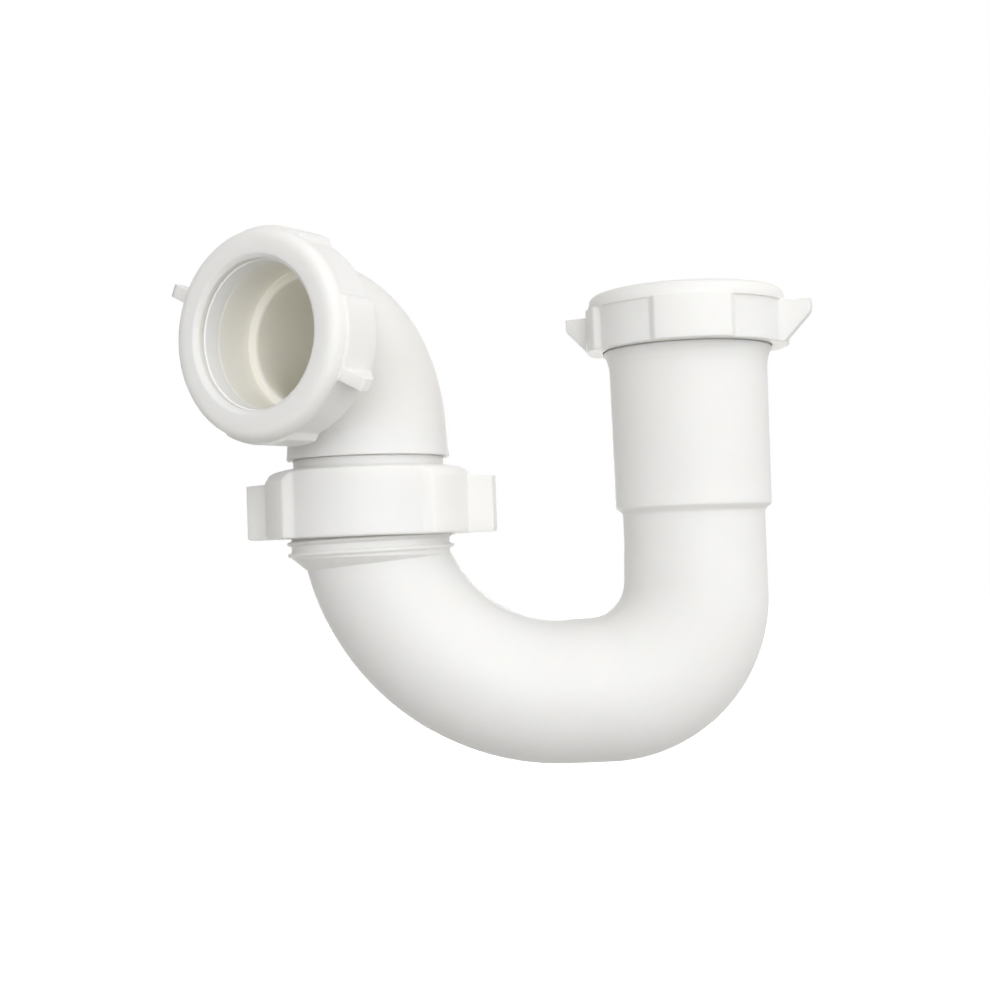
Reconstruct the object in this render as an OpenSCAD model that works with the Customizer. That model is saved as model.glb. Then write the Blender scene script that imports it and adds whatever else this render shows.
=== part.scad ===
// P trap for a sink drain: a white plastic slip joint trap, drawn assembled, in millimetres, +Z up.
// The origin is on the inlet axis, at the top of the straight inlet bore. The drain tube enters along -Z.
// The trap bend lies in the XZ plane. The outlet elbow stands on its far leg and can be swivelled.

/* [Pipe] */
// Outside diameter of the moulded pipe
pipe_od = 39.7; // [37:0.1:43]
// Diameter of the waterway
water_d = 34; // [30:0.5:35]
// Bore of the inlet and outlet sockets, for a 38.1 drain tube
socket_bore = 38.6; // [38.4:0.1:39]
// Height of the bevel at the mouth of both sockets
bevel = 1.6; // [1:0.1:2]

/* [Trap bend] */
// Centreline radius of the bend below the inlet
near_r = 26; // [24:0.5:30]
// Centreline radius of the bend below the swivel joint
far_r = 53; // [45:0.5:60]
// Straight run along the bottom, between the two bends
bottom_run = 12; // [6:0.5:30]
// Depth of the bottom centreline below the origin
bottom_depth = 102.4; // [95:0.1:130]
// Length of the straight bore that takes the drain tube
inlet_depth = 45.9; // [35:0.1:60]
// Depth of the outside step at the foot of the inlet socket
step_depth = 51.7; // [45:0.1:60]
// Radius of the inside corner between the inlet leg and the bottom
corner_r = 12.6; // [7:0.1:14]

/* [Outlet elbow] */
// Centreline radius of the elbow
elbow_r = 24.5; // [23:0.5:30]
// Outside diameter of the elbow
elbow_od = 44.6; // [42:0.1:46]
// Depth of the outlet axis below the origin
outlet_drop = 4.4; // [0:0.05:15]
// Angle of the outlet, turned towards the front from pointing straight away from the inlet
outlet_turn = 55.2; // [0:0.1:90]
// Distance of the outlet mouth from the swivel axis
outlet_reach = 40; // [37:0.1:60]
// Depth of the bore that takes the outgoing tube
outlet_depth = 13.4; // [9:0.1:14]

/* [Slip nuts] */
// Height of a slip nut
nut_h = 16; // [15:0.5:20]
// Outside diameter of the rounded rim of a slip nut
nut_od = 55.2; // [52:0.2:57]
// Diameter of the body between the grip lugs
nut_body_od = 53.2; // [51:0.2:54]
// Diameter over the four grip lugs of a slip nut
lug_od = 56.8; // [54:0.2:60]
// Diameter over the two wings of a slip nut
wing_od = 71; // [66:0.5:74]
// Width of each grip lug in degrees
lug_width = 50; // [36:1:54]
// Direction of the first lug of the inlet nut
inlet_nut_turn = -4.8; // [-45:0.1:45]
// Direction of the first lug of the outlet nut
outlet_nut_turn = 82.6; // [50:0.1:140]

/* [Union nut] */
// Height of the union nut
union_h = 19; // [16:0.1:22]
// Outside diameter of the rim of the union nut
union_od = 57.2; // [54:0.2:60]
// Diameter of the body of the union nut between its lugs
union_body_od = 53.2; // [52:0.2:56]
// Diameter over the two lugs of the union nut
union_lug_od = 58; // [55:0.2:60]
// Diameter over the two wings of the union nut
union_wing_od = 72; // [66:0.2:73]
// Height of the union wings
union_wing_h = 15.8; // [12:0.2:17]
// Direction of the first lug of the union nut
union_nut_turn = -6; // [-45:1:45]
// Depth of the top of the union nut below the origin
union_drop = 38; // [36:0.1:46]

/* [Threads] */
// Distance between two ridges of a thread
pitch = 3.175; // [2.5:0.005:4]
// Diameter over the ridges of an outside thread
thread_od = 46.6; // [46:0.1:47]
// Diameter at the root of an outside thread
thread_core = 44.3; // [44:0.1:45]

/* [Hidden] */
$fn = 96;
gap = 0.3;
water_r = water_d / 2;
pipe_r = pipe_od / 2;
socket_r = socket_bore / 2;
core_r = thread_core / 2;
crest_r = thread_od / 2;
nut_root_r = crest_r + 0.4;
nut_crest_r = core_r + 0.4;
far_x = -(near_r + far_r + bottom_run);
lip_t = 3;
mouth_in_nut = nut_h - 6.9;
lip_r = 19.6;
lug_h = 11.6;
union_lug_h = union_h - 3.6;
washer_r = 22;
washer_bore_r = 19.25;
washer_t = nut_h - lip_t - mouth_in_nut - 2 * gap;
neck_r = 21;
union_lip_t = 3.2;
flange_t = 3;
union_washer_t = 2;
flange_top = -union_drop - union_lip_t - gap;
union_washer_top = flange_top - flange_t - gap;
collar_top = union_washer_top - union_washer_t - gap;
collar_low = collar_top - 15.3;
collar_phase = collar_low + 2.25;
nut_phase = 1.2;
hub_low = -union_drop + 2.7;
spigot_r = 19.75;
hub_socket_r = 19.8;
hub_stop = hub_low + 6.6;

// One helical ridge between two radii, from one height to another, with both ends sinking into the wall.
// The ridge passes the +X direction at the height z0.
module helix_ridge(r_lo, r_hi, w_lo, w_hi, z0, z_from, z_to, sink_lo) {
  per_turn = 36;
  n = round((z_to - z_from) / pitch * per_turn);
  fade = [for (i = [0:n]) max(0.15, min(1, i / 5, (n - i) / 5))];
  lo = [for (i = [0:n]) sink_lo ? r_lo : r_hi - (r_hi - r_lo) * fade[i]];
  hi = [for (i = [0:n]) sink_lo ? r_lo + (r_hi - r_lo) * fade[i] : r_hi];
  points = [for (i = [0:n]) let (z = z_from + pitch * i / per_turn, a = 360 * (z - z0) / pitch) each [
    [lo[i] * cos(a), lo[i] * sin(a), z - w_lo / 2],
    [hi[i] * cos(a), hi[i] * sin(a), z - w_hi / 2],
    [hi[i] * cos(a), hi[i] * sin(a), z + w_hi / 2],
    [lo[i] * cos(a), lo[i] * sin(a), z + w_lo / 2]]];
  sides = [for (i = [0:n - 1], j = [0:3]) let (a = 4 * i + j, b = 4 * i + (j + 1) % 4) each [
    [a, b, b + 4],
    [a, b + 4, a + 4]]];
  ends = [[3, 2, 1], [3, 1, 0], [4 * n, 4 * n + 1, 4 * n + 2], [4 * n, 4 * n + 2, 4 * n + 3]];
  polyhedron(points = points, faces = concat(sides, ends), convexity = 8);
}

// Outside thread: the ridge is rooted in a plain core
module outside_thread(z0, z_from, z_to) {
  helix_ridge(core_r - 0.5, crest_r, 1.9, 0.6, z0, z_from, z_to, true);
}

// Inside thread: the ridge is rooted in the wall of a nut and stands half a pitch from the outside one
module inside_thread(z0, z_from, z_to) {
  helix_ridge(nut_crest_r, nut_root_r + 0.5, 0.6, 1.9, z0 + pitch / 2, z_from, z_to, false);
}

// A pipe of one radius along the centreline of the trap bend, from the inlet side to the swivel side
module bend_path(r) {
  translate([0, 0, near_r - bottom_depth]) cylinder(r = r, h = bottom_depth - near_r - inlet_depth);
  translate([-near_r, 0, near_r - bottom_depth]) rotate([90, 0, 0]) rotate([0, 0, -90])
    rotate_extrude(angle = 90) translate([near_r, 0]) circle(r = r);
  translate([-near_r, 0, -bottom_depth]) rotate([0, -90, 0]) cylinder(r = r, h = bottom_run);
  translate([-near_r - bottom_run, 0, far_r - bottom_depth]) rotate([90, 0, 0]) rotate([0, 0, -180])
    rotate_extrude(angle = 90) translate([far_r, 0]) circle(r = r);
}

// The thicker inside corner of the bend below the inlet
module corner_fill() {
  r = pipe_r - 0.3;
  c = corner_r + r;
  translate([-c, 0, c - bottom_depth]) rotate([90, 0, 0]) rotate([0, 0, -90])
    rotate_extrude(angle = 90) translate([c, 0]) circle(r = r);
}

// The trap bend: one moulding with the inlet socket, the water seal and the threaded collar of the union
module trap_bend() {
  color([0.93, 0.92, 0.9]) difference() {
    union() {
      bend_path(pipe_r);
      corner_fill();
      translate([0, 0, -step_depth]) cylinder(r1 = 21.8, r2 = core_r, h = step_depth - 12.4);
      translate([0, 0, -12.4]) cylinder(r = core_r, h = 12.4 + bevel);
      translate([0, 0, -step_depth - 1.6]) cylinder(r1 = pipe_r - 0.05, r2 = 21.8, h = 1.6);
      translate([far_x, 0, collar_low]) cylinder(r = core_r, h = collar_top - collar_low);
      translate([far_x, 0, collar_low - 3.4]) cylinder(r1 = core_r - 3.6, r2 = core_r, h = 3.4);
      translate([0, 0, -13.6]) cylinder(r1 = core_r - 0.25, r2 = crest_r - 0.1, h = 5.2);
      translate([0, 0, -8.4]) cylinder(r = crest_r - 0.1, h = 0.5);
      translate([0, 0, bevel - mouth_in_nut]) outside_thread(nut_phase, 0.9, mouth_in_nut - 1.3);
      translate([far_x, 0, 0]) outside_thread(collar_phase, collar_low + 0.4, collar_top - 1.3);
    }
    bend_path(water_r);
    translate([0, 0, -inlet_depth]) cylinder(r = socket_r, h = inlet_depth + 5);
    translate([0, 0, -inlet_depth - 1.8]) cylinder(r1 = water_r, r2 = socket_r, h = 1.8);
    cylinder(r1 = socket_r, r2 = socket_r + bevel, h = bevel);
    translate([far_x, 0, far_r - bottom_depth]) cylinder(r = water_r, h = 5);
  }
}

// Local frame of the outlet: the swivel axis is the origin and +Z points out of the outlet mouth
module outlet_frame() {
  translate([far_x, 0, -outlet_drop]) rotate([0, 0, 180 + outlet_turn]) rotate([0, 90, 0]) children();
}

// Local frame of the elbow: +X points out of the outlet and +Z up
module elbow_frame() {
  translate([far_x, 0, -outlet_drop]) rotate([0, 0, 180 + outlet_turn]) children();
}

// The quarter bend of the elbow, with one radius
module elbow_bend(r) {
  translate([elbow_r, 0, -elbow_r]) rotate([90, 0, 0]) rotate([0, 0, 90])
    rotate_extrude(angle = 90) translate([elbow_r, 0]) circle(r = r);
}

// The outlet elbow: a quarter bend with a threaded outlet socket and a hub below for the tailpiece
module outlet_elbow() {
  hub_bottom = hub_low + outlet_drop;
  color([0.93, 0.92, 0.9]) difference() {
    union() {
      elbow_frame() elbow_bend(elbow_od / 2);
      elbow_frame() translate([0, 0, hub_bottom])
        cylinder(r1 = elbow_od / 2 + 0.5, r2 = elbow_od / 2, h = -elbow_r - hub_bottom);
      outlet_frame() translate([0, 0, elbow_r]) cylinder(r = core_r, h = outlet_reach - elbow_r);
      outlet_frame() translate([0, 0, outlet_reach - mouth_in_nut])
        outside_thread(nut_phase, -2.6, mouth_in_nut - 1.3);
    }
    elbow_frame() elbow_bend(water_r);
    elbow_frame() translate([0, 0, hub_bottom - 1]) cylinder(r = water_r, h = 1 - elbow_r - hub_bottom);
    elbow_frame() translate([0, 0, hub_bottom - 1]) cylinder(r = hub_socket_r, h = hub_stop - hub_low + 1);
    outlet_frame() translate([0, 0, elbow_r]) cylinder(r = water_r, h = 5);
    outlet_frame() translate([0, 0, outlet_reach - outlet_depth])
      cylinder(r = socket_r, h = outlet_depth + 1);
    outlet_frame() translate([0, 0, outlet_reach - bevel])
      cylinder(r1 = socket_r, r2 = socket_r + bevel, h = bevel);
  }
}

// The union tailpiece: a short flanged sleeve fixed in the hub of the elbow and held down by the union nut
module union_tailpiece() {
  color([0.93, 0.92, 0.9]) translate([far_x, 0, 0]) difference() {
    union() {
      translate([0, 0, flange_top - flange_t]) cylinder(r = 22.3, h = flange_t);
      translate([0, 0, flange_top - flange_t])
        cylinder(r = neck_r, h = hub_low - 0.05 - flange_top + flange_t);
      translate([0, 0, hub_low - 1]) cylinder(r = spigot_r, h = hub_stop - 0.05 - hub_low + 1);
    }
    translate([0, 0, flange_top - flange_t - 1]) cylinder(r = water_r, h = 30);
  }
}

// Half section of the round cup of a slip nut, from its open back edge to its rounded front
module cup_profile() {
  round_r = 3.6;
  rim_r = nut_od / 2;
  difference() {
    union() {
      square([nut_body_od / 2, lug_h + 0.5]);
      translate([0, lug_h]) square([rim_r, nut_h - round_r - lug_h]);
      translate([0, lug_h]) square([rim_r - round_r, nut_h - lug_h]);
      translate([rim_r - round_r, nut_h - round_r]) circle(r = round_r);
    }
    translate([-1, -1]) square([nut_root_r + 1, mouth_in_nut + 2.6]);
    translate([-1, -1]) square([washer_r + 0.4 + 1, nut_h - lip_t + 1]);
    translate([-1, -1]) square([lip_r + 1, nut_h + 2]);
    polygon([[lip_r - 1, nut_h + 1], [lip_r - 1, nut_h - 2.2], [lip_r + 1.2, nut_h],
             [lip_r + 1.2, nut_h + 1]]);
  }
}

// One grip lug, centred on +X, with sloping sides
module lug() {
  inner = nut_root_r + 0.2;
  half = 24.5 * tan(lug_width / 2);
  intersection() {
    cylinder(r = lug_od / 2, h = lug_h + 0.3);
    linear_extrude(height = lug_h + 1)
      polygon([[inner, -6], [inner - 1.3, -half - 0.52], [inner + 6, 2.4 - half],
               [inner + 6, half - 2.4], [inner - 1.3, half + 0.52], [inner, 6]]);
  }
}

// One wing: a fin that stands out near one end of a lug, flat in front and slanting back to the nut
module slip_wing() {
  inner = nut_root_r + 0.5;
  tip = wing_od / 2;
  rotate([0, 0, 6.2 - lug_width / 2]) translate([0, 1.8, 0]) rotate([90, 0, 0]) linear_extrude(height = 3.6)
    polygon([[inner, 0.2], [lug_od / 2 - 0.3, 0.2], [tip, 7.8], [tip, lug_h - 0.3], [tip - 0.7, lug_h + 0.1],
             [inner, lug_h + 0.1]]);
}

// A slip nut in its own frame: back edge at zero, front towards +Z, first lug turned to an angle
module slip_nut(turn) {
  color([0.94, 0.93, 0.91]) union() {
    rotate_extrude() cup_profile();
    for (a = [0, 90, 180, 270]) rotate([0, 0, turn + a]) lug();
    for (a = [0, 180]) rotate([0, 0, turn + a]) slip_wing();
    inside_thread(nut_phase, 1.6, mouth_in_nut - 0.4);
  }
}

// A tapered slip joint washer in the frame of its nut
module slip_washer() {
  color([0.88, 0.89, 0.93]) translate([0, 0, mouth_in_nut + gap]) difference() {
    union() {
      cylinder(r = washer_r, h = washer_t);
      translate([0, 0, -1.2]) cylinder(r1 = 19.35, r2 = 20.55, h = 1.2);
    }
    translate([0, 0, -3]) cylinder(r = washer_bore_r, h = 10);
  }
}

module inlet_nut() {
  translate([0, 0, bevel - mouth_in_nut]) slip_nut(inlet_nut_turn);
}

module inlet_washer() {
  translate([0, 0, bevel - mouth_in_nut]) slip_washer();
}

module outlet_nut() {
  outlet_frame() translate([0, 0, outlet_reach - mouth_in_nut]) slip_nut(outlet_nut_turn);
}

module outlet_washer() {
  outlet_frame() translate([0, 0, outlet_reach - mouth_in_nut]) slip_washer();
}

// Half section of the union nut, from its open lower edge to its sloping shoulder
module union_profile() {
  r = union_body_od / 2;
  slope_r = union_od / 2 - 2.8;
  difference() {
    polygon([[nut_crest_r, 0], [r - 0.8, 0], [r, 0.8], [r, union_h - 0.5 - 0.47 * (r - slope_r)],
             [slope_r, union_h - 0.5], [slope_r - 2.2, union_h], [neck_r + 0.4, union_h],
             [neck_r + 0.4, union_h - union_lip_t], [nut_crest_r, union_h - union_lip_t]]);
    translate([-1, -1]) square([nut_root_r + 1, union_h - union_lip_t + 1]);
  }
}

// Half section of a lug of the union nut, which ends below the same sloping shoulder
module union_lug_profile(inner) {
  r = union_lug_od / 2;
  rim_r = union_od / 2;
  polygon([[inner, 0], [r - 0.8, 0], [r, 0.8], [r, union_lug_h + 0.3], [rim_r - 0.2, union_lug_h + 0.7],
           [rim_r - 1, union_lug_h + 2.1], [rim_r - 2.8, union_h - 0.7], [inner, union_h - 0.7]]);
}

// One broad lug of the union nut, centred on +X, with the wing that stands on it
module union_lug() {
  inner = nut_root_r + 0.6;
  tip = union_wing_od / 2;
  intersection() {
    rotate_extrude() union_lug_profile(inner);
    translate([15, -20.4, 0]) cube([20, 40.8, union_h]);
  }
  rotate([0, 0, -9]) translate([inner + 1, -2.2, 0]) cube([tip - inner - 1, 4.4, union_wing_h]);
}

// The union nut, which draws the flanged tailpiece down on the collar of the trap bend
module union_nut() {
  color([0.94, 0.93, 0.91]) translate([far_x, 0, -union_drop - union_h]) union() {
    rotate_extrude() union_profile();
    for (a = [0, 180]) rotate([0, 0, union_nut_turn + a]) union_lug();
    inside_thread(collar_phase + union_drop + union_h, 1.6, collar_top + union_drop + union_h - 0.6);
  }
}

// The flat washer between the flange of the tailpiece and the end of the collar
module union_washer() {
  color([0.88, 0.89, 0.93]) translate([far_x, 0, union_washer_top - union_washer_t]) difference() {
    cylinder(r = washer_r, h = union_washer_t);
    translate([0, 0, -1]) cylinder(r = water_r + 0.3, h = union_washer_t + 2);
  }
}

trap_bend();
outlet_elbow();
union_tailpiece();
union_nut();
union_washer();
inlet_nut();
inlet_washer();
outlet_nut();
outlet_washer();
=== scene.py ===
import bpy
import numpy as np
from mathutils import Matrix


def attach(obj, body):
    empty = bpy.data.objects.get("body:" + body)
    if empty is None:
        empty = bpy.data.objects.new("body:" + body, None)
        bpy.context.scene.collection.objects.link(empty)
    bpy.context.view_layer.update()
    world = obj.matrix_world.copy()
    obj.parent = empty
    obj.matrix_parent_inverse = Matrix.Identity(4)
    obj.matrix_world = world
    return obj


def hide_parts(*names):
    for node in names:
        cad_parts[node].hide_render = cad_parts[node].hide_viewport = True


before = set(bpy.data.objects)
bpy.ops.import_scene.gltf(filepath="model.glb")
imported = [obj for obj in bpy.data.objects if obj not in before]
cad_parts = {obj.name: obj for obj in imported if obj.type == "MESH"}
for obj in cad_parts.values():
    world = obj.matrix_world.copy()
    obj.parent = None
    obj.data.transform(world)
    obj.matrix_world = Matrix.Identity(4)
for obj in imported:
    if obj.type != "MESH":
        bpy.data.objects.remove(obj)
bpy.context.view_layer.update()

# Trap bend. One thick walled J of white polypropylene: a long socket for the drain tube, a tight bend, a wide
# bend that holds the water seal, and a threaded collar. It is injection moulded in one shot around collapsing
# cores, so it has a sloping step below the socket, soft edges and a hair line where the mould halves met.
mm = 0.001
near_r = 26.0
far_r = 53.0
bottom_run = 12.0
bottom_depth = 102.4
swivel_x = -(near_r + far_r + bottom_run)
pipe_r = 19.85
water_r = 17.0
socket_r = 19.3
socket_depth = 45.9
socket_floor = 1.8
socket_wall_top = 22.14
socket_wall_low = 21.8
lip = 1.6
lip_r = 20.9
core_r = 22.15
ridge_h = 1.15
thread_pitch = 3.175
bead_at = 7.65
bead_r = 23.6
step_at = 51.7
step_end = 53.3
collar_top = -47.1
collar_low = -62.4
collar_foot = -64.2
collar_tilt = 1.7
collar_start = -60.15
collar_ends = (-62, -48.4)
taper_lap = 0.2
corner_r = 12.6
corner_slim = 0.3
hair_h = 0.09
hair_w = 0.3
hair_room = 0.1
slip_start = 1.2
nut_back = 9.1
inlet_foot = lip - nut_back
inlet_ends = (-6.6, 0.3)
leg_end = bottom_depth - near_r
tight_end = leg_end + near_r * np.pi / 2
run_end = tight_end + bottom_run
wide_end = run_end + far_r * np.pi / 2
collar_end = wide_end + collar_top - far_r + bottom_depth


def outline(rows):
    """Closed outline through rows of two coordinates, a cut and a step. Each corner is cut back by its cut
    along both of its sides and bridged by a parabola. The straight that is left after it is divided into
    equal stretches no longer than its step."""
    table = np.array(rows, float)
    corners, cuts, steps = table[:, :2], table[:, 2:3], table[:, 3]
    after = np.roll(corners, -1, 0)
    ahead = after - corners
    ahead /= np.linalg.norm(ahead, axis=1, keepdims=True)
    begin = corners + cuts * ahead
    end = after - np.roll(cuts, -1, 0) * ahead
    again = np.roll(begin, -1, 0)
    counts = np.ceil(np.linalg.norm(end - begin, axis=1) / steps).astype(int)
    bend = np.linspace(0, 1, 7)[1:-1, None]
    stretches = []
    for side, count in enumerate(counts):
        stretches.append(begin[side] + np.linspace(0, 1, count + 1)[:, None] * (end[side] - begin[side]))
        middle = 2 * bend * (1 - bend) * after[side]
        stretches.append((1 - bend) ** 2 * end[side] + middle + bend**2 * again[side])
    return np.concatenate(stretches)


def crowded(count, places, widths, gains):
    """Directions round a full turn, closer together near the given places: the inverse of the running total
    of a density of one, plus a bell at each place with that width and gain."""
    fine = np.linspace(0, 2 * np.pi, 40 * 360 + 1)
    off = (fine[:, None] - np.array(places) + np.pi) % (2 * np.pi) - np.pi
    density = 1 + (np.array(gains) * np.exp(-((off / np.array(widths)) ** 2))).sum(1)
    total = np.concatenate([[0], np.cumsum(density[1:] + density[:-1])])
    return np.interp(np.arange(count) * total[-1] / count, total, fine)


def soft_max(a, b, width):
    """The larger of two values, with the corner between them rounded over the width: a hyperbola."""
    return (a + b + np.sqrt((a - b) ** 2 + width**2)) / 2


def soft_step(value, low, high):
    """From 0 below the low value to 1 above the high one, along a cubic that is level at both ends."""
    share = np.clip((value - low) / (high - low), 0, 1)
    return share**2 * (3 - 2 * share)


def thread(height, direction, start, low, high):
    """Helical ridge from 0 to 1. The distance along the axis to the nearest turn of the helix that passes
    direction 0 at the start height gives a crest with two sloping flanks, which fades out at the low and the
    high end."""
    half_foot, flank, fade, fade_rest = 0.8, 0.5, 0.5, 0.2
    turns = (height - start) / thread_pitch - direction / (2 * np.pi)
    off = (turns - np.round(turns)) * thread_pitch
    to_end = np.minimum(height - off - low, high - height + off)
    return soft_step(half_foot - np.abs(off), 0, flank) * np.clip(to_end / fade + fade_rest, 0, 1)


def hair_line(out, turn):
    """Height of the line where the mould halves met: a narrow bell over the distance from the plane of the
    bend, on both sides of the pipe."""
    return hair_h * np.exp(-((np.sin(turn) * out / hair_w) ** 2))


def skin(name, points, bore_shade_mask):
    """Closed skin over a grid of points in millimetres that wraps round both ways. Every cell is one face,
    turned so that the volume inside, a third of the sum of each face's corner times its area vector, comes
    out positive. The mask is 1 on walls that face a bore, where the material paints a brighter, warmer shade."""
    rows, columns = points.shape[:2]
    flat = points.reshape(-1, 3) * mm
    ids = np.arange(rows * columns).reshape(rows, columns)
    ahead = np.roll(ids, -1, 0)
    cells = np.stack([ids, ahead, np.roll(ahead, -1, 1), np.roll(ids, -1, 1)], -1).reshape(-1, 4)
    a, b, c, d = (flat[cells[:, k]] for k in range(4))
    if (a * np.cross(c - a, d - b)).sum() < 0:
        cells = cells[:, ::-1]
    mesh = bpy.data.meshes.new(name)
    mesh.from_pydata(flat, [], cells)
    mesh.polygons.foreach_set("use_smooth", np.ones(len(cells), bool))
    # Mask of the walls that face a bore, where the material paints bore shade
    shade = mesh.attributes.new("bore_shade_mask", "FLOAT", "POINT")
    shade.data.foreach_set("value", np.broadcast_to(bore_shade_mask, (rows, columns)).astype(np.float32).ravel())
    mesh.update()
    piece = bpy.data.objects.new(name, mesh)
    bpy.context.scene.collection.objects.link(piece)
    return piece


def inlet_to_collar(along, out, turn):
    """Carries a point of the wall along the centreline of the J. Along is the distance from the origin down
    the inlet leg, round the tight bend, along the bottom and up the wide bend; out is its distance from the
    centreline, at the angle turn from the outside of the bends. On the outside of the wide bend the rings
    lean step by step until they lie at the foot of the collar, and a straight taper joins the last of them
    to the collar, which stands upright."""
    outside = out > (pipe_r + water_r) / 2
    first = along <= tight_end
    curl = along > run_end
    tight = np.clip((along - leg_end) / near_r, 0, np.pi / 2)
    wide = np.pi / 2 - np.clip((along - run_end) / far_r, 0, np.pi / 2)
    held = np.where(outside & curl, np.minimum(out, pipe_r + hair_room), out)
    depth = far_r - bottom_depth - collar_foot
    level = np.arcsin((depth + collar_tilt * np.cos(turn)) / (far_r + held * np.cos(turn)))
    middle = np.arcsin(depth / far_r)
    lean = level + (np.pi / 2 - level) * np.clip((wide - middle) / (np.pi / 2 - middle), 0, 1)
    wide = np.where(outside, lean, wide)
    past = np.clip(along - tight_end, 0, bottom_run)
    lead_x = np.where(first, -near_r + near_r * np.cos(tight), -near_r - past)
    lead_z = np.where(first, -np.minimum(along, leg_end) - near_r * np.sin(tight), -bottom_depth)
    curl_z = far_r - bottom_depth - far_r * np.sin(wide) + np.maximum(along - wide_end, 0)
    x = np.where(curl, -near_r - bottom_run - far_r * np.cos(wide), lead_x)
    z = np.where(curl, curl_z, lead_z)
    swing = held * np.cos(turn)
    x = x + swing * np.where(curl, -np.cos(wide), np.cos(tight))
    z = z + swing * np.where(curl, -np.sin(wide), -np.sin(tight))
    pipe = np.stack([x, held * np.sin(turn) + 0 * x, z], -1)
    height = along - collar_end + collar_top
    ring = np.where(height < collar_low, core_r, out)
    rise = np.maximum(height, collar_low)
    collar = np.stack([swivel_x - ring * np.cos(turn), ring * np.sin(turn), rise + 0 * x], -1)
    taper = (height - collar_foot + taper_lap) / (collar_low - collar_foot + taper_lap)
    share = np.clip(taper, 0, 1) * outside
    return pipe + share[..., None] * (collar - pipe)


def corner_wall(along, turn):
    """Distance from the centreline to the thicker inside corner, which is a ring of its own between the inlet
    leg and the bottom. The rings of the pipe cut it aslant, so the distance is found in a few steps, each
    the miss over its slope."""
    fill_r = pipe_r - corner_slim
    fill_c = corner_r + fill_r
    shift = fill_c - near_r
    ray = np.clip((along - leg_end) / near_r, 0, np.pi / 2)
    begun = np.clip(along - bottom_depth + fill_c, 0, shift)
    left = np.clip(tight_end + shift - along, 0, shift)
    lead = near_r + shift * (np.cos(ray) + np.sin(ray))
    aside = np.abs(np.cos(ray) - np.sin(ray)) * begun * left / shift
    thick = fill_r + 0 * turn
    for _ in range(6):
        ahead = lead + thick * np.cos(turn)
        ring = np.hypot(ahead, aside)
        miss = (ring - fill_c) ** 2 + (thick * np.sin(turn)) ** 2 - fill_r**2
        slope = 2 * (ring - fill_c) * ahead * np.cos(turn) / ring + 2 * thick * np.sin(turn) ** 2
        thick = thick - miss / slope
    return thick


# The wall runs down the outside from the mouth, over the end of the collar and back up the bore. Its rows are
# denser along the inside corner.
dense_from, dense_to = 68, 126
wall = outline([
    (-lip, core_r, 0.5, 0.2),
    (bead_at, core_r, 0.15, 0.4),
    (bead_at, bead_r, 0.12, 0.2),
    (8.5, 23.4, 0.3, 0.4),
    (9.9, 22.7, 0.7, 0.5),
    (12.6, socket_wall_top, 1.2, 3.2),
    (step_at, socket_wall_low, 0.45, 0.3),
    (step_end, pipe_r, 0.7, 2.6),
    (dense_from, pipe_r, 0.5, 1.1),
    (dense_to, pipe_r, 0.5, 2.6),
    (collar_end - collar_top + collar_foot - taper_lap, pipe_r, 0.08, 0.5),
    (collar_end - collar_top + collar_low, core_r, 0.3, 0.2),
    (collar_end, core_r, 0.5, 0.9),
    (collar_end, water_r, 0.4, 3.4),
    (socket_depth + socket_floor, water_r, 0.5, 0.5),
    (socket_depth, socket_r, 0.4, 3.4),
    (0, socket_r, 0.4, 0.5),
    (-lip, lip_r, 0.3, 0.5),
])
along, out = wall[:, :1], wall[:, 1:]
turn = crowded(184, [0, np.pi], [0.03, 0.03], [3, 3])
outside = out > (socket_r + pipe_r) / 2

# The corner runs into the pipe with a hollow fillet, which fades towards both legs and round the outside.
fillet_r, fillet_below = 1.1, 3
fillet_from, fillet_full, fillet_fade, fillet_to = 58, 71, 122, 138
fillet = soft_step(along, fillet_from, fillet_full) * (1 - soft_step(along, fillet_fade, fillet_to))
fillet = fillet_r * fillet * (1 - np.cos(turn)) / 2
over = np.maximum(corner_wall(along, turn) - pipe_r, -fillet_below * fillet)
extra = soft_max(over, 0, fillet) - soft_max(-fillet_below * fillet, 0, fillet)
cornered = outside & (along > fillet_from - 1) & (along < fillet_to + 1)

# The threads stand on the socket and on the collar, and the hair line runs between the step and the collar.
inlet_thread = thread(-along, turn, slip_start + inlet_foot, *inlet_ends) * (along < bead_at + 0.15)
collar_height = along + collar_top - collar_end
collar_thread = thread(collar_height, np.pi - turn, collar_start, *collar_ends)
collar_thread = collar_thread * (collar_height > collar_low + 0.1)
flash = hair_line(out, turn) * (along > step_end - 0.3) * (collar_height < collar_foot - 0.9)
raised = ridge_h * (inlet_thread + collar_thread) + flash
reach = np.where(cornered, pipe_r + extra, out) + outside * raised


class Wire:
    """A value on its way through a material. Arithmetic on it adds Math nodes, and node() adds any other."""

    def __init__(self, socket):
        self.socket, self.tree = socket, socket.id_data

    def node(self, kind, settings, sockets, output=0):
        """A node of this kind: its settings are set first, then the values or links of its sockets."""
        made = self.tree.nodes.new(kind)
        for key, value in settings.items():
            setattr(made, key, value)
        for key, value in sockets.items():
            if isinstance(value, Wire):
                self.tree.links.new(value.socket, made.inputs[key])
            else:
                made.inputs[key].default_value = value
        return Wire(made.outputs[output])

    def __add__(self, other):
        return self.node("ShaderNodeMath", {"operation": "ADD"}, {0: self, 1: other})

    def __sub__(self, other):
        return self.node("ShaderNodeMath", {"operation": "SUBTRACT"}, {0: self, 1: other})

    def __rsub__(self, other):
        return self.node("ShaderNodeMath", {"operation": "SUBTRACT"}, {0: other, 1: self})

    def __mul__(self, other):
        return self.node("ShaderNodeMath", {"operation": "MULTIPLY"}, {0: self, 1: other})

    __radd__, __rmul__ = __add__, __mul__


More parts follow.
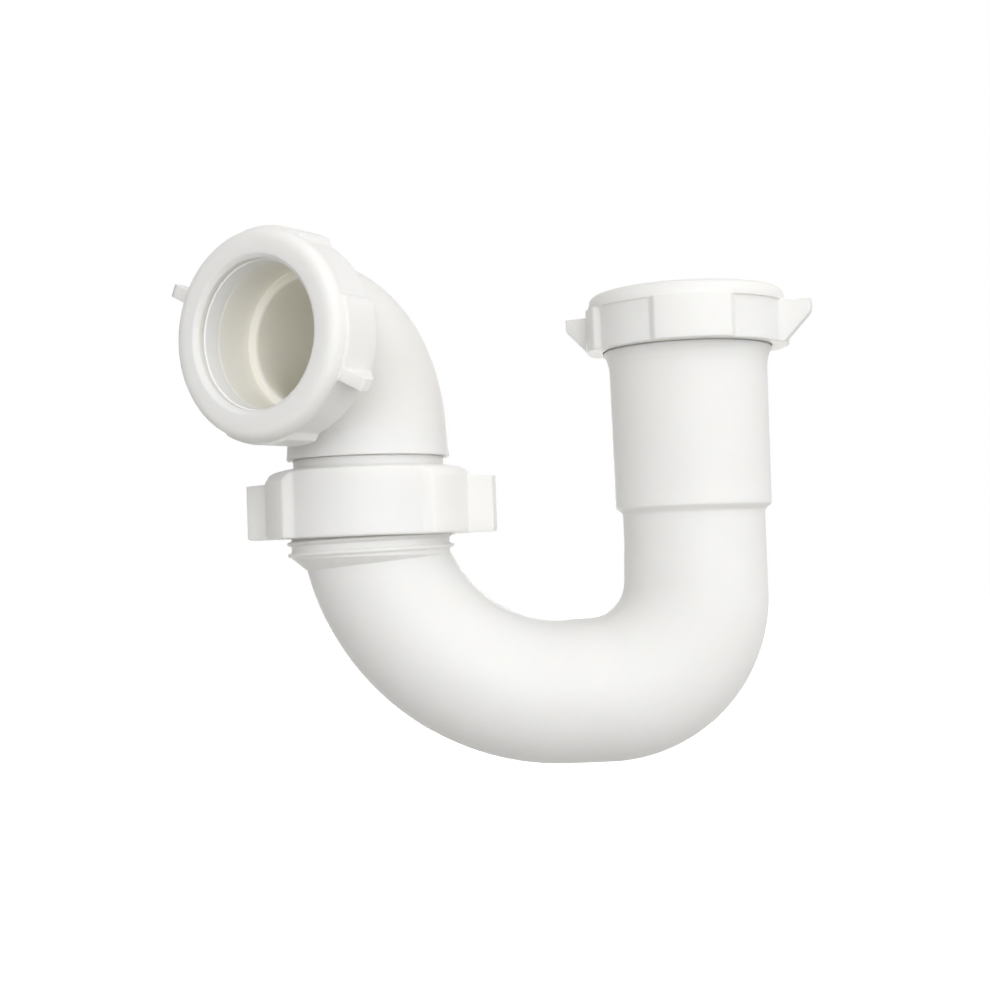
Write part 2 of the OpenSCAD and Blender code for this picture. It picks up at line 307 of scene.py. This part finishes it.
def moulded_white(name, open_white, cloud_white, bore_shade_white, gloss, peel_depth):
    """Satin polypropylene. Slow clouds from the flow of the melt and fine specks shift the white. Walls that
    face a bore get painted shade: a brighter, warmer white for the light bounced inside the bore, and a
    little more roughness. The roughness and the bump follow a fine orange peel from the mould."""
    cloud_gain, cloud_low, speck_gain, speck_bump = 1.6, 0.3, 0.25, 0.3
    cloud_rough, peel_rough, bore_wall_rough = 0.12, 0.1, 0.06
    material = bpy.data.materials.new(name)
    material.use_nodes = True
    tree = material.node_tree
    shader = tree.nodes["Principled BSDF"]
    spot = Wire(tree.nodes.new("ShaderNodeTexCoord").outputs["Object"])
    cloud = spot.node("ShaderNodeTexNoise", {},
                      {"Vector": spot, "Scale": 46.0, "Detail": 3.0, "Distortion": 0.8})
    peel = spot.node("ShaderNodeTexNoise", {}, {"Vector": spot, "Scale": 620.0, "Detail": 2.0})
    speck = spot.node("ShaderNodeTexNoise", {}, {"Vector": spot, "Scale": 2400.0, "Detail": 1.0})
    bore_shade_mask = spot.node("ShaderNodeAttribute", {"attribute_name": "bore_shade_mask"}, {}, "Fac")
    flow = cloud * cloud_gain - cloud_low + (speck - 0.5) * speck_gain
    white = spot.node("ShaderNodeMix", {"data_type": "RGBA"}, {0: flow, 6: open_white, 7: cloud_white}, 2)
    # Painted shade: walls that face a bore are mixed towards a brighter, warmer white that stands in for the
    # light bounced inside the bore
    white = spot.node("ShaderNodeMix", {"data_type": "RGBA"}, {0: bore_shade_mask, 6: white, 7: bore_shade_white}, 2)
    rough = gloss + (cloud - 0.5) * cloud_rough + (peel - 0.5) * peel_rough + bore_shade_mask * bore_wall_rough
    bump = spot.node("ShaderNodeBump", {},
                     {"Strength": peel_depth, "Distance": 0.2 * mm, "Height": peel + speck * speck_bump})
    tree.links.new(white.socket, shader.inputs["Base Color"])
    tree.links.new(rough.socket, shader.inputs["Roughness"])
    tree.links.new(bump.socket, shader.inputs["Normal"])
    shader.inputs["IOR"].default_value = 1.49
    shader.inputs["Specular IOR Level"].default_value = 0.3
    shader.inputs["Subsurface Weight"].default_value = 0.4
    shader.inputs["Subsurface Radius"].default_value = (1.0, 0.93, 0.7)
    shader.inputs["Subsurface Scale"].default_value = 6 * mm
    return material


# The third white is painted bore shade, brighter and warmer than the open white
moulding_white = moulded_white("moulding_white", (0.875, 0.872, 0.858, 1), (0.857, 0.852, 0.83, 1),
                               (0.955, 0.93, 0.85, 1), gloss=0.46, peel_depth=0.16)
trap = skin("trap_bend_moulding", inlet_to_collar(along, reach, turn), ~outside * 1.0)
trap.data.materials.append(moulding_white)
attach(trap, "bend")
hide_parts("trap_bend")

# Union washer. A flat ring of soft milky polyethylene, stamped from sheet. It lies loose on the end of the
# collar and seals against the flange above it.
washer_hole = 17.3
washer_r = 22.0
washer_low = -46.8
washer_top = -44.8
x_way, y_way, z_way = np.eye(3)
upright = (np.array([swivel_x, 0, 0]), x_way, y_way, z_way)


def spun(outward, height, turn, stand):
    """A ring round an axis: the foot of the axis, plus the radius times a unit vector turned from the first
    to the second cross direction, plus the height along the axis. The stand holds the foot, the two cross
    directions and the axis."""
    foot, first, second, axis = stand
    swing = np.cos(turn)[:, None] * first + np.sin(turn)[:, None] * second
    return foot + outward[..., None] * swing + np.asarray(height)[..., None] * axis


def soft_milk(name, milk, cloud_milk):
    """Soft polyethylene: a cool milky white that clouds slowly, dull, with a slightly waxy uneven surface."""
    gloss, cloud_rough, wax_rough = 0.46, 0.14, 0.12
    material = bpy.data.materials.new(name)
    material.use_nodes = True
    tree = material.node_tree
    shader = tree.nodes["Principled BSDF"]
    spot = Wire(tree.nodes.new("ShaderNodeTexCoord").outputs["Object"])
    cloud = spot.node("ShaderNodeTexNoise", {}, {"Vector": spot, "Scale": 90.0, "Detail": 3.0})
    wax = spot.node("ShaderNodeTexNoise", {}, {"Vector": spot, "Scale": 900.0, "Detail": 2.0})
    white = spot.node("ShaderNodeMix", {"data_type": "RGBA"}, {0: cloud, 6: milk, 7: cloud_milk}, 2)
    rough = gloss + (cloud - 0.5) * cloud_rough + (wax - 0.5) * wax_rough
    bump = spot.node("ShaderNodeBump", {}, {"Strength": 0.18, "Distance": 0.2 * mm, "Height": wax})
    tree.links.new(white.socket, shader.inputs["Base Color"])
    tree.links.new(rough.socket, shader.inputs["Roughness"])
    tree.links.new(bump.socket, shader.inputs["Normal"])
    shader.inputs["IOR"].default_value = 1.51
    return material


washer_milk = soft_milk("washer_milk", (0.92, 0.924, 0.935, 1), (0.895, 0.9, 0.915, 1))
around = np.arange(128) * 2 * np.pi / 128
flat_ring = outline([
    (washer_hole, washer_low, 0.35, 0.8),
    (washer_r, washer_low, 0.35, 0.5),
    (washer_r, washer_top, 0.35, 0.8),
    (washer_hole, washer_top, 0.35, 0.5),
])
out, height = flat_ring[:, :1], flat_ring[:, 1:]
union_seal = skin("union_washer_ring", spun(out + 0 * around, height, around, upright), 0.0)
union_seal.data.materials.append(washer_milk)
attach(union_seal, "union_seal")
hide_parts("union_washer")

# Union tailpiece. A short sleeve with a flange, moulded smooth in the same polypropylene as the elbow. Its
# spigot is welded into the hub of the elbow, and the union nut holds its flange down on the washer.
flange_r = 22.3
flange_low = -44.5
flange_top = -41.5
neck_r = 21.0
neck_top = -35.35
spigot_r = 19.75
spigot_top = -28.75
sleeve = outline([
    (flange_r, flange_low, 0.35, 0.7),
    (flange_r, flange_top, 0.35, 0.4),
    (neck_r, flange_top, 0.3, 1.0),
    (neck_r, neck_top, 0.2, 0.4),
    (spigot_r, neck_top, 0.2, 1.2),
    (spigot_r, spigot_top, 0.3, 0.6),
    (water_r, spigot_top, 0.3, 2.5),
    (water_r, flange_low, 0.35, 0.8),
])
out, height = sleeve[:, :1], sleeve[:, 1:]
inside = out < water_r + 1
tailpiece = skin("tailpiece_sleeve", spun(out + 0 * around, height, around, upright), inside * 1.0)
tailpiece.data.materials.append(moulding_white)
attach(tailpiece, "elbow")
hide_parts("union_tailpiece")

# Outlet elbow. A quarter bend with a thicker wall than the trap bend, of the same moulded polypropylene. Its
# hub stands on the tailpiece, and its threaded socket takes the tube to the wall as far as a stop shoulder.
elbow_r = 24.5
elbow_wall = 22.3
outlet_turn = np.radians(55.2)
outlet_z = -4.4
outlet_reach = 40.0
hub_low = -35.3
hub_flare = 0.5
hub_bore = 19.8
hub_depth = 6.6
stop_depth = 13.4
outlet_ends = (-2.6, 7.8)
outlet_way = np.array([-np.cos(outlet_turn), -np.sin(outlet_turn), 0])
outlet_side = np.array([np.sin(outlet_turn), -np.cos(outlet_turn), 0])
hub_rise = outlet_z - elbow_r - hub_low
quarter = hub_rise + elbow_r * np.pi / 2
mouth = quarter + outlet_reach - elbow_r


def hub_to_outlet(along, out, turn):
    """Carries a point of the wall up from the foot of the hub, round the quarter bend and out along the
    outlet. Turn is measured from the outside of the bend, which is the top of the outlet."""
    bend = np.clip((along - hub_rise) / elbow_r, 0, np.pi / 2)
    ahead = elbow_r - elbow_r * np.cos(bend) + np.maximum(along - quarter, 0)
    height = hub_low + np.minimum(along, hub_rise) + elbow_r * np.sin(bend)
    swing = out * np.cos(turn)
    ahead, height = ahead - swing * np.cos(bend), height + swing * np.sin(bend)
    level = ahead[..., None] * outlet_way + (out * np.sin(turn))[..., None] * outlet_side
    return level + upright[0] + height[..., None] * z_way


# The wall runs up the outside from the foot of the hub, over the mouth and back down the bore.
elbow_line = outline([
    (0, elbow_wall + hub_flare, 0.45, 1.2),
    (hub_rise, elbow_wall, 1.0, 2.2),
    (quarter - 0.4, elbow_wall, 0.3, 0.4),
    (quarter + 0.6, core_r, 0.3, 0.2),
    (mouth, core_r, 0.5, 0.5),
    (mouth, lip_r, 0.3, 0.5),
    (mouth - lip, socket_r, 0.4, 2.4),
    (mouth - stop_depth, socket_r, 0.4, 0.5),
    (mouth - stop_depth, water_r, 1.4, 3.0),
    (hub_depth, water_r, 0.3, 0.6),
    (hub_depth, hub_bore, 0.3, 1.6),
    (0, hub_bore, 0.3, 0.6),
])
along, out = elbow_line[:, :1], elbow_line[:, 1:]
ridge = thread(along - mouth + nut_back, np.pi - turn, slip_start, *outlet_ends) * (along > quarter)
flash = hair_line(out, turn) * (along > 1) * (along < quarter)
reach = out + (out > lip_r + 0.1) * (ridge_h * ridge + flash)
elbow = skin("outlet_elbow_moulding", hub_to_outlet(along, reach, turn), (out < lip_r - 0.4) * 1.0)
elbow.data.materials.append(moulding_white)
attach(elbow, "elbow")
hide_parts("outlet_elbow")

# Union nut. A short cup of moulded polypropylene with a sloping shoulder, two broad grip lugs and two square
# wings. It screws on the collar with a right hand thread and hooks over the flange of the tailpiece.
# The third white is painted bore shade on the threaded bores, brighter and warmer than the open white
nut_white = moulded_white("nut_white", (0.882, 0.88, 0.866, 1), (0.865, 0.86, 0.84, 1),
                          (0.92, 0.905, 0.835, 1), gloss=0.43, peel_depth=0.13)
nut_root = 23.7
union_foot = -57.0
union_turn = np.radians(-6)
union_ends = (1.6, 9.3)
union_body = 26.6
union_high = 19.0
union_roof = 15.8
union_hole = 21.4
union_lug = 29.0
union_lug_side = 20.4
union_lug_edge = 0.82
union_wing_tip = 36.0
union_wing_half = 2.2
union_wing_edge = 0.069
union_wing_back = np.radians(9)
union_wing_top = (15.45, 15.95)
union_front = 18.3
shoulder_heights = [13.3, 16.3, 17.6, 18.5, union_high]
shoulder_radii = [31.6, 28.6, 27.7, 25.8, 23.6]


def off_from(turn, places):
    """Signed angle from the nearest of the places, which are equally spaced."""
    step = 2 * np.pi / len(places)
    return (turn - places[0] + step / 2) % step - step / 2


def both_sides(places, edge):
    """The angles an edge away from each of the places, to both sides."""
    return [place + side for side in (edge, -edge) for place in places]


def fin(turn, places, half_thick, tip):
    """Distance at which a ray leaves a pair of opposite flat fins: their end face or their sides, whichever
    is nearer, with rounded edges between the two."""
    edge, far = 0.7, 60
    off = off_from(turn, places)
    side = half_thick / np.maximum(np.abs(np.sin(off)), 0.01)
    return -soft_max(-tip / np.cos(off), -np.minimum(side, far), edge)


lug_places = union_turn + np.array([0, np.pi])
wing_places = lug_places - union_wing_back
union_edges = both_sides(lug_places, union_lug_edge) + both_sides(wing_places, union_wing_edge)
union_angles = crowded(460, union_edges, [0.07] * 4 + [0.02] * 4, [4] * 4 + [17] * 4)
# The cup runs from its foot up the outside, over the shoulder, down the hole and under the roof.
cup = outline([
    (nut_root, 0, 0.2, 0.5),
    (union_body, 0, 0.7, 0.7),
    (union_body, 13.2, 0.05, 0.22),
    (union_body, 18.12, 0.3, 0.3),
    (25.8, 18.5, 0.4, 0.4),
    (23.6, union_high, 0.5, 0.5),
    (union_hole, union_high, 0.35, 0.5),
    (union_hole, union_roof, 0.3, 0.6),
    (nut_root, union_roof, 0.25, 0.2),
])
out, height = cup[:, :1], cup[:, 1:]
off = off_from(union_angles, lug_places)
shoulder = np.interp(height, shoulder_heights, shoulder_radii)
lug = -soft_max(-union_lug, -union_lug_side / np.maximum(np.abs(np.sin(off)), 0.02), 0.4)
lug = soft_max(-soft_max(-lug, -shoulder, 0.4) - union_body, 0, 0.3)
wing = np.maximum(fin(union_angles, wing_places, union_wing_half, union_wing_tip) - union_body, 0)
wing = wing * (1 - soft_step(height, *union_wing_top))
share = np.clip((out - nut_root) / (union_body - nut_root), 0, 1)
front = (height < union_front) & (out > nut_root + 0.01)
threaded = (height < union_roof - 0.8) & (out < nut_root + 0.1)
union_start = collar_start - union_foot + thread_pitch / 2
ridge = thread(height, union_angles, union_start, *union_ends) * threaded
reach = np.where(front, out + share * soft_max(lug, wing, 0.5), out) - ridge_h * ridge
union_stand = (np.array([swivel_x, 0, union_foot]), x_way, y_way, z_way)
inside = out < nut_root + 0.1
union_nut = skin("union_nut_cup", spun(reach, height, union_angles, union_stand), inside * 1.0)
union_nut.data.materials.append(nut_white)
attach(union_nut, "union_ring")
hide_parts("union_nut")

# Slip joint washers. Tapered rings of soft milky polyethylene, moulded with a thin nose that the nut wedges
# between the socket and the tube. One lies on the mouth of each socket.
taper_hole = 19.25
taper_r = 22.0
nose_low = 8.2
nose_top = 9.2
taper_top = 12.95
outlet_foot = np.array([swivel_x, 0, outlet_z]) + (outlet_reach - nut_back) * outlet_way
inlet_stand = (np.array([0, 0, inlet_foot]), x_way, y_way, z_way)
outlet_stand = (outlet_foot, -z_way, outlet_side, outlet_way)
taper = outline([
    (taper_hole, nose_low, 0.05, 0.1),
    (taper_hole + 0.15, nose_low, 0.05, 0.3),
    (20.55, nose_top, 0.3, 0.4),
    (taper_r, nose_top, 0.35, 0.6),
    (taper_r, taper_top, 0.45, 0.6),
    (taper_hole, taper_top, 0.4, 0.8),
])
out, height = taper[:, :1], taper[:, 1:]
inlet_washer = skin("inlet_washer_ring", spun(out + 0 * around, height, around, inlet_stand), 0.0)
inlet_washer.data.materials.append(washer_milk)
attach(inlet_washer, "inlet_seal")
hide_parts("inlet_washer")
outlet_washer = skin("outlet_washer_ring", spun(out + 0 * around, height, around, outlet_stand), 0.0)
outlet_washer.data.materials.append(washer_milk)
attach(outlet_washer, "outlet_seal")
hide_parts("outlet_washer")

# Slip nuts. Two like cups of moulded polypropylene with a rounded rim, four raised grip lugs with sloping
# sides and two fins that slant back at the rear. Each screws on a threaded socket and presses its washer
# home.
slip_body = 26.6
slip_lug = 28.4
slip_rim = 27.6
slip_high = 16.0
slip_hole = 19.6
slip_recess = 22.4
slip_roof = 13.0
slip_ledge = 11.7
slip_mouth = 14.8
slip_mouth_r = 20.8
slip_lug_side = 20.985
slip_lug_rake = 0.4
slip_lug_edge = 0.41
slip_lug_top = (11.8, 12.2)
slip_fin_tip = 35.5
slip_fin_half = 1.8
slip_fin_edge = 0.057
slip_fin_back = np.radians(18.8)
slip_fin_top = (11.25, 11.65)
slip_fin_low = 0.2
slip_fin_foot = 28.1
slip_fin_slant = 0.974
slip_ends = (1.6, 8.7)
inlet_lug = np.radians(-4.8)
outlet_lug = np.radians(82.6)


def slip_nut(name, first_lug, stand):
    """Outline of the cup spun round its axis, pushed out to the lugs and fins: a lug is a disc cut off by two
    flat slopes, and a fin is a flat plate whose reach grows along a slant from the back edge."""
    lugs = first_lug + np.arange(4) * np.pi / 2
    fins = lugs[::2] - slip_fin_back
    edges = both_sides(lugs, slip_lug_edge) + both_sides(fins, slip_fin_edge)
    angles = crowded(480, edges, [0.06] * 8 + [0.018] * 4, [3] * 8 + [17] * 4)
    # From the foot up the outside, round the rim, down the mouth and under the roof to the washer's recess.
    cup = outline([
        (nut_root, 0, 0.15, 0.5),
        (slip_body, 0, 0.45, 0.6),
        (slip_body, 10.7, 0.05, 0.08),
        (slip_body, 11.5, 0.1, 0.2),
        (slip_rim, 11.62, 0.2, 0.08),
        (slip_rim, 12.4, 0.03, 0.1),
        (slip_rim, slip_high, 3.5, 0.6),
        (slip_mouth_r, slip_high, 0.35, 0.3),
        (slip_hole, slip_mouth, 0.3, 0.5),
        (slip_hole, slip_roof, 0.25, 0.5),
        (slip_recess, slip_roof, 0.25, 0.4),
        (slip_recess, slip_ledge, 0.2, 0.4),
        (nut_root, slip_ledge, 0.2, 0.2),
    ])
    out, height = cup[:, :1], cup[:, 1:]
    off = off_from(angles, lugs)
    slope = slip_lug_side / (np.abs(np.sin(off)) + slip_lug_rake * np.cos(off))
    lug = soft_max(-soft_max(-slip_lug, -slope, 0.35) - slip_body, 0, 0.3)
    lug = lug * (1 - soft_step(height, *slip_lug_top))
    tip = -soft_max(-slip_fin_tip, -(slip_fin_foot + (height - slip_fin_low) * slip_fin_slant), 0.5)
    wing = np.maximum(fin(angles, fins, slip_fin_half, tip) - slip_body, 0)
    wing = wing * (1 - soft_step(height, *slip_fin_top))
    share = np.clip((out - nut_root) / (slip_body - nut_root), 0, 1)
    front = (height < slip_roof) & (out > nut_root + 0.01)
    pushed = np.minimum(out, slip_body) + share * soft_max(lug, wing, 0.4)
    threaded = (height < slip_ledge - 0.3) & (out < nut_root + 0.1)
    ridge = thread(height, angles, slip_start + thread_pitch / 2, *slip_ends) * threaded
    reach = np.where(front, np.maximum(out, pushed), out) - ridge_h * ridge
    inside = (out < nut_root + 0.1) & (height < slip_mouth - 0.1)
    nut = skin(name, spun(reach, height, angles, stand), inside * 1.0)
    nut.data.materials.append(nut_white)
    return nut


inlet_nut = slip_nut("inlet_nut_cup", inlet_lug, inlet_stand)
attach(inlet_nut, "inlet_ring")
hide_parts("inlet_nut")
outlet_nut = slip_nut("outlet_nut_cup", outlet_lug, outlet_stand)
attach(outlet_nut, "outlet_ring")
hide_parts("outlet_nut")

# Studio. A pale floor well below the hanging trap, a white surround that only the camera and reflections see,
# a tent of soft light in front to the right that is dim at the back, a broad lamp in front, a weak one from
# above and one straight behind that lights only the far side.
floor_half = 4
floor_z = -0.25
floor_grey = (0.58, 0.575, 0.56, 1)
floor_glow = 0.84
corners = np.array([(-1, -1, 0), (1, -1, 0), (1, 1, 0), (-1, 1, 0)]) * floor_half + (0, 0, floor_z)
floor_mesh = bpy.data.meshes.new("floor")
floor_mesh.from_pydata(corners, [], [(0, 1, 2, 3)])
floor = bpy.data.objects.new("floor", floor_mesh)
bpy.context.scene.collection.objects.link(floor)


def seen_rays(tree):
    """One for rays from the camera, reflections and light through a surface, and nought for the light that
    falls on the trap."""
    rays = tree.nodes.new("ShaderNodeLightPath").outputs
    return Wire(rays["Is Camera Ray"]) + Wire(rays["Is Glossy Ray"]) + Wire(rays["Is Transmission Ray"])


pale = bpy.data.materials.new("pale_floor")
pale.use_nodes = True
pale.node_tree.nodes.clear()
seen = seen_rays(pale.node_tree)
matt = seen.node("ShaderNodeBsdfDiffuse", {}, {"Color": floor_grey})
glow = seen.node("ShaderNodeEmission", {}, {"Color": (1, 1, 1, 1), "Strength": floor_glow})
bright = seen.node("ShaderNodeAddShader", {}, {0: matt, 1: glow})
shown = seen.node("ShaderNodeMixShader", {}, {0: seen, 1: matt, 2: bright})
surface = pale.node_tree.nodes.new("ShaderNodeOutputMaterial")
pale.node_tree.links.new(shown.socket, surface.inputs["Surface"])
floor_mesh.materials.append(pale)

tent_way = (0.5, -0.86, 0.0)
tent_from, tent_full = -0.35, 0.65
dim_light, tent_light = 0.2, 1.18
dim_tint, tent_tint = (1.0, 0.96, 0.89, 1), (1.0, 0.99, 0.975, 1)
world = bpy.data.worlds.new("studio")
world.use_nodes = True
world.node_tree.nodes.clear()
seen = seen_rays(world.node_tree)
way = Wire(world.node_tree.nodes.new("ShaderNodeTexCoord").outputs["Generated"])
ahead = way.node("ShaderNodeVectorMath", {"operation": "DOT_PRODUCT"}, {0: way, 1: tent_way}, "Value")
share = ahead.node("ShaderNodeMapRange", {"interpolation_type": "SMOOTHSTEP"},
                   {"Value": ahead, "From Min": tent_from, "From Max": tent_full})
dim = seen.node("ShaderNodeBackground", {}, {"Color": dim_tint, "Strength": dim_light})
fill = seen.node("ShaderNodeBackground", {}, {"Color": tent_tint, "Strength": tent_light})
tent = seen.node("ShaderNodeMixShader", {}, {0: share, 1: dim, 2: fill})
white = seen.node("ShaderNodeBackground", {}, {"Color": (1, 1, 1, 1), "Strength": 1.0})
shown = seen.node("ShaderNodeMixShader", {}, {0: seen, 1: tent, 2: white})
surface = world.node_tree.nodes.new("ShaderNodeOutputWorld")
world.node_tree.links.new(shown.socket, surface.inputs["Surface"])
bpy.context.scene.world = world


def soft_lamp(name, place, aim, size, watts, colour):
    """A square lamp at a place, turned so that its face looks at the aim."""
    lamp = bpy.data.lights.new(name, "AREA")
    lamp.size, lamp.energy, lamp.color = size, watts, colour
    holder = bpy.data.objects.new(name, lamp)
    back = np.array(place) - aim
    back = back / np.linalg.norm(back)
    side = np.cross((0, 0, 1), back)
    side = side / np.linalg.norm(side)
    pose = np.eye(4)
    pose[:3, :3] = np.stack([side, np.cross(back, side), back], 1)
    pose[:3, 3] = place
    holder.matrix_world = Matrix(pose.tolist())
    bpy.context.scene.collection.objects.link(holder)


middle = np.array([-0.055, 0, -0.05])
front_place = middle + np.array([0.16, -1.2, 0.1])
top_place = middle + np.array([0.2, -0.1, 1.2])
back_place = middle + np.array([0.1, 1.2, 0.0])
soft_lamp("front_lamp", front_place, middle, size=0.9, watts=6.0, colour=(0.965, 0.977, 1.0))
soft_lamp("top_lamp", top_place, middle, size=0.8, watts=0.5, colour=(1.0, 0.99, 0.97))
soft_lamp("back_lamp", back_place, middle, size=0.6, watts=4.0, colour=(1.0, 0.99, 0.97))

# Camera. It stands level with the trap and looks along the photograph's line of sight, from its distance. The
# focal length is the photograph's, in its pixels, brought to the width of the sensor.
yaw, pitch, roll = np.radians([1.641, -1.98, 2.072])
focal_px, picture_px, sensor = 1566.654, 990, 36.0
sight = np.array([-55.83, 0, 55.786 - bottom_depth])
distance = 440.367
level = np.array([[np.cos(yaw), -np.sin(yaw), 0], [np.sin(yaw), np.cos(yaw), 0], [0, 0, 1]])
tip = np.array([[1, 0, 0], [0, np.cos(pitch), -np.sin(pitch)], [0, np.sin(pitch), np.cos(pitch)]])
lean = np.array([[np.cos(roll), 0, -np.sin(roll)], [0, 1, 0], [np.sin(roll), 0, np.cos(roll)]])
right, ahead, up = lean @ tip @ level
lens = bpy.data.cameras.new("photo_camera")
lens.sensor_width, lens.lens = sensor, focal_px * sensor / picture_px
camera = bpy.data.objects.new("photo_camera", lens)
pose = np.eye(4)
pose[:3, :3] = np.stack([right, up, -ahead], 1)
pose[:3, 3] = (sight - distance * ahead) * mm
camera.matrix_world = Matrix(pose.tolist())
bpy.context.scene.collection.objects.link(camera)
bpy.context.scene.camera = camera
bpy.context.scene.view_settings.view_transform = "Standard"
